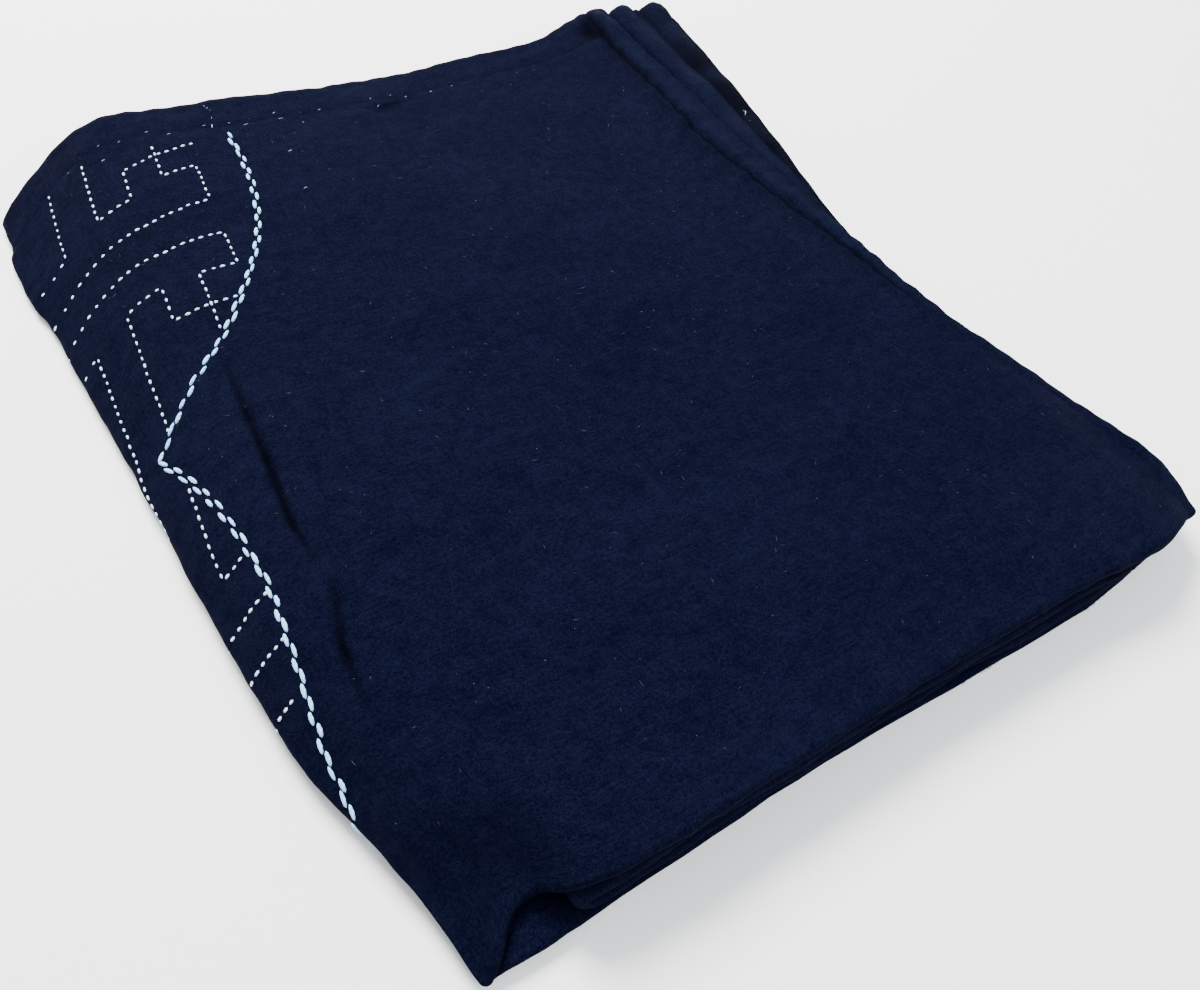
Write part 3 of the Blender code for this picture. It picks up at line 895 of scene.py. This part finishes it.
def flower_outline():
    """The flower's outline on the flat cloth, as x and y, once round from a notch."""
    half = math.pi / PETALS
    inside = PETAL_RING * math.sin(half)
    notch = PETAL_RING * math.cos(half) + math.sqrt(PETAL_RADIUS**2 - inside**2)
    reach = math.atan2(notch * math.sin(half), notch * math.cos(half) - PETAL_RING)
    places = []
    for axis, x, y in petals():
        for turned in np.linspace(axis - reach, axis + reach, PETAL_CUTS, endpoint=False):
            places.append((x + PETAL_RADIUS * math.cos(turned), y + PETAL_RADIUS * math.sin(turned)))
    return np.array(places + places[:1])


def inside_flower(x, y):
    """Whether a flat place lies inside the outline, clear of its thread."""
    inside = np.hypot(x - FLOWER_X, y - FLOWER_Y) < PETAL_RING
    for _, petal_x, petal_y in petals():
        inside = inside | (np.hypot(x - petal_x, y - petal_y) < PETAL_RADIUS - FRET_MARGIN)
    return inside


def fret_place(column, row):
    """A crossing of the fret's grid on the flat cloth, x and y."""
    x = FRET_X - FRET_COLUMN * column
    y = FRET_Y + FRET_ROW * row
    rise = FRET_RISE * smooth_step((y - FRET_RISE_Y) / FRET_RISE_REACH) * np.maximum(x - FRET_RISE_X, 0.0)
    return x + FRET_LEAN * (y - FRET_LEAN_Y), y + rise


def row_of_stitches(path, step, offset=0.0, first=0.5):
    """Evenly stepped stitches on a path of x and y on the flat cloth: their middles and directions."""
    path = np.asarray(path, float)
    done = np.concatenate(((0.0,), np.cumsum(np.hypot(*np.diff(path, axis=0).T))))
    count = max(1, int(done[-1] / step))
    at = (np.arange(count) + first) * done[-1] / count
    at = at[at < done[-1]]
    middle, ahead, behind = [
        np.stack([np.interp(place, done, path[:, k]) for k in (0, 1)], axis=-1)
        for place in (at, at + step / 3, at - step / 3)
    ]
    direction = ahead - behind
    direction /= np.maximum(np.linalg.norm(direction, axis=1), 1e-9)[:, None]
    sideways = np.stack((-direction[:, 1], direction[:, 0]), axis=-1)
    return middle + offset * sideways, direction


def joined(rows):
    """Several rows of stitches as one."""
    return tuple(np.concatenate(parts) for parts in zip(*rows))


def strung(paths, step):
    """Stitches or bits of thread strung evenly on several flat paths."""
    return joined([row_of_stitches(path, step) for path in paths])


def outline_stitches(below):
    """The outline's two rows of stitches: those on top, or those below on the pile's underside."""
    rows = ((OUTLINE_ROWS / 2, 0.25), (-OUTLINE_ROWS / 2, 0.75))
    stitches = joined([row_of_stitches(flower_outline(), OUTLINE_STEP, *row) for row in rows])
    x, y = stitches[0].T
    sewn = on_cloth(x, y) & (y < BACK_Y - BACK_HEM - OUTLINE_TOP_GAP)
    part = under_pile(x) & (x > OUTLINE_END_X) if below else ~under_pile(x)
    return kept(stitches, sewn & part)


def fret_legs(lines):
    """Every straight leg of the fret lines, bent with the grid."""
    for stops in lines:
        for start, end in zip(stops[:-1], stops[1:]):
            shares = np.linspace(0.0, 1.0, 12)
            column = start[0] + shares * (end[0] - start[0])
            row = start[1] + shares * (end[1] - start[1])
            yield np.stack(fret_place(column, row), axis=-1)


def fret_stitches(lines):
    """The filling's stitches, where they lie inside the flower."""
    stitches = strung(fret_legs(lines), FRET_STEP)
    x, y = stitches[0].T
    return kept(stitches, (x > FRET_END_X) & on_cloth(x, y) & inside_flower(x, y))


def hidden_fret_lines():
    """Stepped lines that carry the filling on round the big fold and under the pile."""
    lines = []
    for row in range(HIDDEN_FRET_ROWS[0], HIDDEN_FRET_ROWS[1], 2):
        stops, column, high = [], HIDDEN_FRET_START, False
        while column <= HIDDEN_FRET_END:
            stops += [(column, row + high), (column + 2, row + high)]
            column, high = column + 2, not high
        lines.append(tuple(stops))
    return tuple(lines)


def kept(stitches, mask):
    return stitches[0][mask], stitches[1][mask]


def on_cloth(x, y):
    """Whether a flat place lies on the visible outer cloth, inside its hems."""
    across, along = WIDTH / 2 - x, BACK_Y - y
    return (along > BACK_HEM - STITCHED_ONTO_HEM) & (along < FRONT_FOLD) & (across > SIDE_HEM)


def under_pile(x):
    """Whether a flat place lies past the big fold's nose, on the underside."""
    return WIDTH / 2 - x > sum(stretch["length"] for stretch in ACROSS[:4])


def stitch_seats(stitches, lift, seed, wander):
    """Stitches carried to the folded cloth: a place, a direction and a face normal for each."""
    dice = np.random.RandomState(seed)
    (x, y), (run_x, run_y) = stitches[0].T, stitches[1].T
    x = x + dice.normal(0.0, wander, x.shape)
    y = y + dice.normal(0.0, wander, y.shape)
    across, along = WIDTH / 2 - x, BACK_Y - y
    small = 0.0004
    place = cloth_point(across, along, CLOTH_THICK / 2 + lift)
    forward = cloth_point(across - small * run_x, along - small * run_y, CLOTH_THICK / 2 + lift) - place
    sideways = cloth_point(across + small * run_y, along - small * run_x, CLOTH_THICK / 2 + lift) - place
    normal = np.cross(forward, sideways)
    normal /= np.linalg.norm(normal, axis=1)[:, None]
    forward /= np.linalg.norm(forward, axis=1)[:, None]
    return place, forward, normal


STITCH_NODES = {
    "given": "NodeGroupInput",
    "grain": "GeometryNodeMeshUVSphere",
    "place": "GeometryNodeInputPosition",
    "remember": "GeometryNodeStoreNamedAttribute",
    "smooth": "GeometryNodeSetShadeSmooth",
    "forward": "GeometryNodeInputNamedAttribute",
    "outward": "GeometryNodeInputNamedAttribute",
    "lay": "FunctionNodeAlignRotationToVector",
    "lead": "FunctionNodeAlignRotationToVector",
    "sizes": "ShaderNodeCombineXYZ",
    "least": "ShaderNodeMath",
    "most": "ShaderNodeMath",
    "dice": "FunctionNodeRandomValue",
    "scale": "ShaderNodeVectorMath",
    "instance": "GeometryNodeInstanceOnPoints",
    "real": "GeometryNodeRealizeInstances",
    "dress": "GeometryNodeSetMaterial",
    "result": "NodeGroupOutput",
}
STITCH_LINKS = (
    ("given", "Sides", "grain", "Segments"), ("given", "Rings", "grain", "Rings"),
    ("grain", "Mesh", "remember", "Geometry"), ("place", "Position", "remember", "Value"),
    ("remember", "Geometry", "smooth", "Geometry"), ("outward", "Attribute", "lay", "Vector"),
    ("lay", "Rotation", "lead", "Rotation"), ("forward", "Attribute", "lead", "Vector"),
    ("given", "Length", "sizes", "X"), ("given", "Width", "sizes", "Y"), ("given", "Height", "sizes", "Z"),
    ("given", "Unevenness", "least", 1), ("given", "Unevenness", "most", 1),
    ("least", 0, "dice", "Min"), ("most", 0, "dice", "Max"), ("given", "Seed", "dice", "Seed"),
    ("sizes", 0, "scale", 0), ("dice", "Value", "scale", 1), ("given", "Seats", "instance", "Points"),
    ("smooth", "Geometry", "instance", "Instance"), ("lead", "Rotation", "instance", "Rotation"),
    ("scale", "Vector", "instance", "Scale"), ("instance", "Instances", "real", "Geometry"),
    ("real", "Geometry", "dress", "Geometry"), ("given", "Thread", "dress", "Material"),
    ("dress", "Geometry", "result", "Stitches"),
)
STITCH_SOCKETS = (
    ("Seats", "Geometry", None), ("Length", "Float", 0.002), ("Width", "Float", 0.001),
    ("Height", "Float", 0.0007), ("Unevenness", "Float", 0.15), ("Sides", "Int", 6),
    ("Rings", "Int", 4), ("Seed", "Int", 1), ("Thread", "Material", None),
)


def stitch_tree():
    """Geometry Nodes: one grain of thread on every stitch seat, laid along it and out of the cloth."""
    tree = bpy.data.node_groups.new("hand stitches", "GeometryNodeTree")
    for name, kind, default in STITCH_SOCKETS:
        socket = tree.interface.new_socket(name=name, in_out="INPUT", socket_type="NodeSocket" + kind)
        if default is not None:
            socket.default_value = default
    tree.interface.new_socket(name="Stitches", in_out="OUTPUT", socket_type="NodeSocketGeometry")
    made = {name: tree.nodes.new(kind) for name, kind in STITCH_NODES.items()}
    for name in ("remember", "forward", "outward", "dice"):
        made[name].data_type = "FLOAT_VECTOR"
    for name, attribute in (("remember", "on_grain"), ("forward", "forward"), ("outward", "outward")):
        made[name].inputs["Name"].default_value = attribute
    made["remember"].domain = "POINT"
    made["grain"].inputs["Radius"].default_value = 0.5
    made["lay"].axis, made["lead"].axis, made["lead"].pivot_axis = "Z", "X", "Z"
    for name, operation in (("least", "SUBTRACT"), ("most", "ADD"), ("scale", "MULTIPLY")):
        made[name].operation = operation
    for name in ("least", "most"):
        made[name].inputs[0].default_value = 1.0
    for source, out, target, entry in STITCH_LINKS:
        tree.links.new(made[source].outputs[out], made[target].inputs[entry])
    return tree


def make_stitches(name, tree, seats, values):
    """A piece of stitches: seats as loose points, then the tree with its inputs set, then a plain mesh."""
    place, forward, normal = seats
    mesh = bpy.data.meshes.new(name)
    mesh.from_pydata(place.tolist(), [], [])
    for label, vectors in (("forward", forward), ("outward", normal)):
        attribute = mesh.attributes.new(label, "FLOAT_VECTOR", "POINT")
        attribute.data.foreach_set("vector", vectors.astype(np.float32).reshape(-1))
    piece = new_object(name, mesh)
    modifier = piece.modifiers.new("stitches", "NODES")
    modifier.node_group = tree
    for socket in tree.interface.items_tree:
        if socket.in_out == "INPUT" and socket.name in values:
            modifier[socket.identifier] = values[socket.name]
    return plain_copy(piece, name)


def set_inputs(node, values):
    """Sets a node's inputs, by name or number, to plain values or to other nodes' outputs."""
    for name, value in values.items():
        if isinstance(value, bpy.types.NodeSocket):
            node.id_data.links.new(value, node.inputs[name])
        else:
            node.inputs[name].default_value = value


def new_node(tree, kind, values=None, **settings):
    """A node with its settings, and then its inputs."""
    node = tree.nodes.new(kind)
    for name, value in settings.items():
        setattr(node, name, value)
    set_inputs(node, values or {})
    return node


def new_material(name, values):
    """A material, its tree and its surface, with the surface's plain inputs set."""
    material = bpy.data.materials.new(name)
    material.use_nodes = True
    surface = material.node_tree.nodes["Principled BSDF"]
    set_inputs(surface, values)
    return material, material.node_tree, surface


def math_node(tree, operation, first, second=0.0):
    return new_node(tree, "ShaderNodeMath", {0: first, 1: second}, operation=operation).outputs[0]


def noise_node(tree, place, scale, detail, roughness):
    values = {"Vector": place, "Scale": scale, "Detail": detail, "Roughness": roughness}
    return new_node(tree, "ShaderNodeTexNoise", values).outputs["Fac"]


def scaled_place(tree, place, scale):
    return new_node(tree, "ShaderNodeMapping", {"Vector": place, "Scale": scale}).outputs["Vector"]


def mix_colour(tree, share, first, second):
    """The mix node has its colours as inputs 6 and 7, and as output 2."""
    return new_node(tree, "ShaderNodeMix", {0: share, 6: first, 7: second}, data_type="RGBA").outputs[2]


def bump_node(tree, height, strength, distance, normal=None):
    values = {"Height": height, "Strength": strength, "Distance": distance}
    if normal is not None:
        values["Normal"] = normal
    return new_node(tree, "ShaderNodeBump", values).outputs["Normal"]


def cotton_material():
    """Plain-woven indigo cotton, worn soft: weave and slubs, faint mottling, nap, painted shade in creases
    and under edges, painted highlight on raised ridges, and brownish hem edges.
    """
    material, tree, surface = new_material("indigo cotton", COTTON_SURFACE)
    times, plus = partial(math_node, tree, "MULTIPLY"), partial(math_node, tree, "ADD")
    flat = new_node(tree, "ShaderNodeUVMap", uv_map="flat_cloth").outputs["UV"]
    split = new_node(tree, "ShaderNodeSeparateXYZ", {0: flat})
    turns = 2 * math.pi / THREAD_PITCH
    warp, weft = [math_node(tree, "SINE", times(split.outputs[k], turns)) for k in (0, 1)]
    grain, tone = {}, TONE
    for name, scale, detail, roughness, gain in GRAINS:
        if isinstance(scale, tuple):
            grain[name] = noise_node(tree, scaled_place(tree, flat, scale), 1.0, detail, roughness)
        else:
            grain[name] = noise_node(tree, flat, scale, detail, roughness)
        if gain:
            tone = plus(times(math_node(tree, "SUBTRACT", grain[name], 0.5), gain), tone)
    colour = mix_colour(tree, tone, INDIGO_DEEP, INDIGO_WORN)
    # Painted highlight on the raised hem ridges, the strips' ridges and the knot
    ridge_highlight_mix = times(mark_value(tree, "ridge_highlight"), times(grain["nap"], 0.75))
    colour = mix_colour(tree, ridge_highlight_mix, colour, INDIGO_RIDGE_HIGHLIGHT)
    # Painted shade in creases, seam lines, beside the edges above, on the lowest strip and in the knot's hole
    colour = mix_colour(tree, times(mark_value(tree, "painted_shade"), 0.85), colour, INDIGO_PAINTED_SHADE)
    colour = mix_colour(tree, worn_edge_mask(tree, split, grain["nap"]), colour, EDGE_BROWN)
    set_inputs(surface, {"Base Color": colour, "Roughness": plus(times(grain["mottle"], 0.16), 0.80)})
    normal = bump_node(tree, grain["rumple"], 0.45, 0.0030)
    normal = bump_node(tree, grain["pills"], 0.5, 0.0010, normal)
    threads = plus(times(grain["slub"], 0.7), times(grain["cross_slub"], 0.7))
    threads = plus(threads, times(times(warp, weft), 0.15))
    threads = plus(threads, times(grain["nap"], 0.9))
    set_inputs(surface, {"Normal": bump_node(tree, threads, 0.8, 0.0009, normal)})
    return material


def mark_value(tree, name):
    """One of the marks that the cloth's mesh carries, from 0 to 1."""
    return new_node(tree, "ShaderNodeAttribute", attribute_name=name).outputs["Fac"]


def worn_edge_mask(tree, split, nap):
    """A thin brownish line of wear on the outermost fold of the back hems."""
    times = partial(math_node, tree, "MULTIPLY")
    other_end = math_node(tree, "SUBTRACT", ALONG_LENGTH, split.outputs[1])
    nearest = math_node(tree, "MINIMUM", split.outputs[1], other_end)
    share = times(math_node(tree, "SUBTRACT", WORN_EDGE, nearest), 1 / WORN_EDGE)
    return times(math_node(tree, "MAXIMUM", share, 0.0), times(nap, 0.9))


def twist_group():
    """Height and shade of twisted cotton strands, from a place on one stitch."""
    tree = bpy.data.node_groups.new("twisted strands", "ShaderNodeTree")
    for name, way in (("Strands", "INPUT"), ("Height", "OUTPUT"), ("Shade", "OUTPUT")):
        tree.interface.new_socket(name=name, in_out=way, socket_type="NodeSocketFloat")
    times, plus = partial(math_node, tree, "MULTIPLY"), partial(math_node, tree, "ADD")
    given, result = tree.nodes.new("NodeGroupInput"), tree.nodes.new("NodeGroupOutput")
    place = new_node(tree, "ShaderNodeAttribute", attribute_name="on_grain")
    split = new_node(tree, "ShaderNodeSeparateXYZ", {0: place.outputs["Vector"]})
    lead = times(split.outputs[0], given.outputs["Strands"])
    lag = times(split.outputs[1], STRAND_SLANT)
    wave = math_node(tree, "SINE", times(plus(lead, lag), 2 * math.pi))
    where = tree.nodes.new("ShaderNodeTexCoord")
    fluff = noise_node(tree, where.outputs["Object"], *STRAND_FLUFF)
    set_inputs(result, {"Height": plus(wave, times(fluff, 0.8)), "Shade": plus(times(wave, 0.10), 0.90)})
    return tree


def thread_material(name, twist):
    """Matt cotton embroidery thread."""
    colour, shade_colour, strands = THREADS[name]
    material, tree, surface = new_material(name, THREAD_SURFACE)
    group = new_node(tree, "ShaderNodeGroup", {"Strands": strands}, node_tree=twist)
    shaded = mix_colour(tree, group.outputs["Shade"], shade_colour, colour)
    bumps = bump_node(tree, group.outputs["Height"], 0.5, 0.0002)
    set_inputs(surface, {"Base Color": shaded, "Normal": bumps})
    return material


def make_pieces():
    """The cloth, then every sewn piece. Each one's places are worked out in its turn."""
    places = {
        "flower_outline": partial(outline_stitches, below=False),
        "key_fret": partial(fret_stitches, FRET_LINES),
        "flower_outline_under": partial(outline_stitches, below=True),
        "key_fret_under": partial(fret_stitches, hidden_fret_lines()),
        "hem_stitches": hem_stitches,
        "second_motif": partial(strung, SECOND_MOTIF, FRET_STEP),
        "lint": partial(lint_seats, LINT_COUNT, LINT_SEED),
        "specks": partial(lint_seats, SPECK_COUNT, SPECK_SEED),
        "loose_thread": partial(strung, (LOOSE_THREAD,), LOOSE_THREAD_STEP),
        "long_hair": partial(strung, (LONG_HAIR,), LONG_HAIR_STEP),
    }
    cotton, twist = cotton_material(), twist_group()
    threads = {name: thread_material(name, twist) for name in THREADS}
    pieces, tree = [make_cloth(cotton)], stitch_tree()
    for name, thread, lift, seed, spread, sizes in SEWN:
        seats = stitch_seats(places[name](), lift, seed, spread)
        if name.endswith("_under"):
            seats = pressed(seats)
        values = {"Thread": threads[thread], **dict(zip(STITCH_INPUTS, sizes))}
        pieces.append(make_stitches(name, tree, seats, values))
    return [*map(above_ground, pieces[:5]), *pieces[5:]]


def hem_stitches():
    """Small slip stitches of the back hem: those that show most, and more of the same along it."""
    dice = np.random.RandomState(HEM_SEED)
    x = np.arange(-0.150, 0.150, HEM_STEP)
    x = x + dice.uniform(-0.003, 0.003, x.shape)
    y = BACK_Y - BACK_HEM + dice.uniform(-0.0035, 0.0040, x.shape)
    x, y = x[x < HEM_STITCHES_TO], y[x < HEM_STITCHES_TO]
    middles = np.concatenate((np.stack((x, y), axis=-1), HEM_STITCHES_SEEN))
    angles = dice.normal(0.3, 0.5, len(middles))
    return middles, np.stack((np.cos(angles), np.sin(angles)), axis=-1)


def lint_seats(count, seed):
    """Stray hairs and specks scattered over the top."""
    dice = np.random.RandomState(seed)
    x = dice.uniform(*LINT_X, count)
    y = dice.uniform(*LINT_Y, count)
    angles = dice.uniform(0, math.pi, count)
    return np.stack((x, y), axis=-1), np.stack((np.cos(angles), np.sin(angles)), axis=-1)


def pressed(seats):
    """Keeps stitches above the surface that the pile rests on."""
    place = seats[0].copy()
    place[:, 2] = np.maximum(place[:, 2], 0.0002)
    return place, seats[1], seats[2]


def declare(pieces):
    """Every piece rides on the root body. The cloth's flat size has the 40 and 25 mm turned into its hems."""
    for piece in pieces:
        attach(piece, "root")
    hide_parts("folded_cloth")


def make_floor():
    mesh = bpy.data.meshes.new("floor")
    corners = [(x * FLOOR_REACH, y * FLOOR_REACH, 0) for x, y in ((-1, -1), (1, -1), (1, 1), (-1, 1))]
    mesh.from_pydata(corners, [], [(0, 1, 2, 3)])
    mesh.materials.append(new_material("pale floor", FLOOR_SURFACE)[0])
    new_object("floor", mesh)


def make_lights():
    for name, place, size, watts, colour in LIGHTS:
        light = bpy.data.lights.new(name, "AREA")
        light.shape, light.size, light.energy, light.color = "DISK", size, watts, colour
        lamp = new_object(name, light)
        lamp.location = place
        lamp.rotation_euler = (Vector(LIT_MIDDLE) - Vector(place)).to_track_quat("-Z", "Y").to_euler()
    world = bpy.data.worlds.new("studio")
    world.use_nodes = True
    set_inputs(world.node_tree.nodes["Background"], SKY)
    bpy.context.scene.world = world


def make_camera():
    """The photograph's viewpoint: close above the front left corner, turned to lay the cloth across."""
    camera = bpy.data.cameras.new("camera")
    camera.sensor_width = SENSOR_WIDTH
    camera.lens = CAMERA_LENS
    camera.clip_start = 0.01
    holder = new_object("camera", camera)
    holder.location = CAMERA_PLACE
    holder.rotation_euler = tuple(math.radians(angle) for angle in CAMERA_TURN)
    bpy.context.scene.camera = holder


make_camera()
PIECES = make_pieces()
declare(PIECES)
make_floor()
make_lights()
